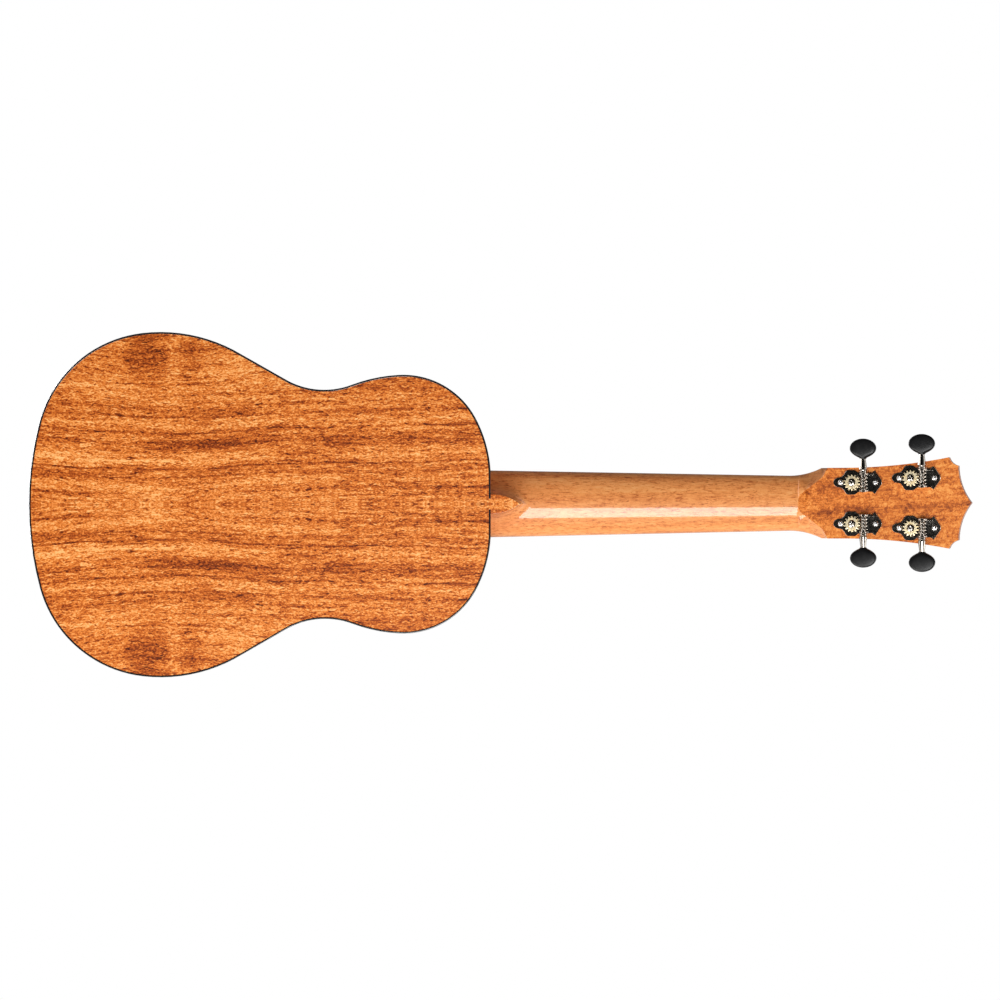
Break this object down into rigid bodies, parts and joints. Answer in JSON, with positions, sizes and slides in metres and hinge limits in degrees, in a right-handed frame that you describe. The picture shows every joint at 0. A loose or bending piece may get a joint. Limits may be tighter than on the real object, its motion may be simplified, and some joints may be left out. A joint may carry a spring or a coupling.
{
  "type": "ukulele",
  "caption": "Tenor ukulele with a hollow waisted wooden body, fretted neck, tilted headstock, tied nylon strings and open worm-geared tuners that turn.",
  "frame": {"origin": "under the middle of the whole length, on the plane of the back's outer face, which is the plane it rests on", "axes": "+X along the neck to the headstock, +Y to the bass side (the G and C strings' tuners), +Z out of the soundboard"},
  "size_m": [0.6508, 0.2356, 0.0813],
  "materials": {
    "koa_back": "gloss lacquer over bookmatched koa, strong streaks along the length",
    "koa_side": "gloss lacquer over bent koa",
    "koa_top": "gloss lacquer over koa",
    "black_binding": "polished black binding",
    "neck_mahogany": "satin lacquer over mahogany with fine pores",
    "inner_mahogany": "bare sanded mahogany",
    "spruce": "bare sanded spruce",
    "rosewood": "oiled rosewood",
    "fret_nickel": "polished nickel silver",
    "bone": "polished bone",
    "pearl": "pearl inlay",
    "string_nylon": "clear-white nylon",
    "black_nickel": "black nickel plate",
    "bright_screw": "bright nickel plate",
    "gear_brass": "machined brass",
    "button_black": "satin black plastic"
  },
  "bodies": {
    "ukulele": {"soundboard_bass": "koa_top", "soundboard_treble": "koa_top", "rosette": "pearl", "back_bass": "koa_back", "back_treble": "koa_back", "side_bass": "koa_side", "side_treble": "koa_side", "top_binding": "black_binding", "back_binding": "black_binding", "neck_block": "inner_mahogany", "tail_block": "inner_mahogany", "top_linings": "inner_mahogany", "back_linings": "inner_mahogany", "soundboard_braces": "spruce", "bridge_patch": "inner_mahogany", "back_braces": "spruce", "neck": "neck_mahogany", "heel_cap": "koa_back", "headstock": "neck_mahogany", "headstock_veneer": "koa_top", "fretboard": "rosewood", "frets": "fret_nickel", "position_dots": "pearl", "nut": "bone", "bridge": "rosewood", "saddle": "bone", "tuner_bushings": "black_nickel", "tuner_screws": "bright_screw", "string_g": "string_nylon", "string_c": "string_nylon", "string_e": "string_nylon", "string_a": "string_nylon", "tuner_plate_g": "black_nickel", "tuner_plate_c": "black_nickel", "tuner_plate_e": "black_nickel", "tuner_plate_a": "black_nickel"},
    "g_button_shaft": {"worm_g": "black_nickel", "button_g": "button_black"},
    "g_post_gear": {"gear_g": "gear_brass", "post_g": "black_nickel", "gear_screw_g": "black_nickel", "winding_g": "string_nylon"},
    "c_button_shaft": {"worm_c": "black_nickel", "button_c": "button_black"},
    "c_post_gear": {"gear_c": "gear_brass", "post_c": "black_nickel", "gear_screw_c": "black_nickel", "winding_c": "string_nylon"},
    "e_button_shaft": {"worm_e": "black_nickel", "button_e": "button_black"},
    "e_post_gear": {"gear_e": "gear_brass", "post_e": "black_nickel", "gear_screw_e": "black_nickel", "winding_e": "string_nylon"},
    "a_button_shaft": {"worm_a": "black_nickel", "button_a": "button_black"},
    "a_post_gear": {"gear_a": "gear_brass", "post_a": "black_nickel", "gear_screw_a": "black_nickel", "winding_a": "string_nylon"}
  },
  "joints": [
    {"name": "g_button_turn", "type": "hinge", "parent": "ukulele", "child": "g_button_shaft", "pos_m": [0.24876, 0.01445, 0.04502], "axis": [0, 1, 0], "continuous": true},
    {"name": "g_post_turn", "type": "hinge", "parent": "ukulele", "child": "g_post_gear", "pos_m": [0.24456, 0.01445, 0.06278], "axis": [-0.2079, 0, -0.9781], "continuous": true},
    {"name": "c_button_turn", "type": "hinge", "parent": "ukulele", "child": "c_button_shaft", "pos_m": [0.28857, 0.0174, 0.03656], "axis": [0, 1, 0], "continuous": true},
    {"name": "c_post_turn", "type": "hinge", "parent": "ukulele", "child": "c_post_gear", "pos_m": [0.28437, 0.0174, 0.05432], "axis": [-0.2079, 0, -0.9781], "continuous": true},
    {"name": "e_button_turn", "type": "hinge", "parent": "ukulele", "child": "e_button_shaft", "pos_m": [0.28857, -0.0174, 0.03656], "axis": [0, -1, 0], "continuous": true},
    {"name": "e_post_turn", "type": "hinge", "parent": "ukulele", "child": "e_post_gear", "pos_m": [0.28437, -0.0174, 0.05432], "axis": [-0.2079, 0, -0.9781], "continuous": true},
    {"name": "a_button_turn", "type": "hinge", "parent": "ukulele", "child": "a_button_shaft", "pos_m": [0.24876, -0.01445, 0.04502], "axis": [0, -1, 0], "continuous": true},
    {"name": "a_post_turn", "type": "hinge", "parent": "ukulele", "child": "a_post_gear", "pos_m": [0.24456, -0.01445, 0.06278], "axis": [-0.2079, 0, -0.9781], "continuous": true}
  ],
  "couplings": [
    {"joint": "g_post_turn", "follows": "g_button_turn", "ratio": -0.071429},
    {"joint": "c_post_turn", "follows": "c_button_turn", "ratio": -0.071429},
    {"joint": "e_post_turn", "follows": "e_button_turn", "ratio": -0.071429},
    {"joint": "a_post_turn", "follows": "a_button_turn", "ratio": -0.071429}
  ]
}
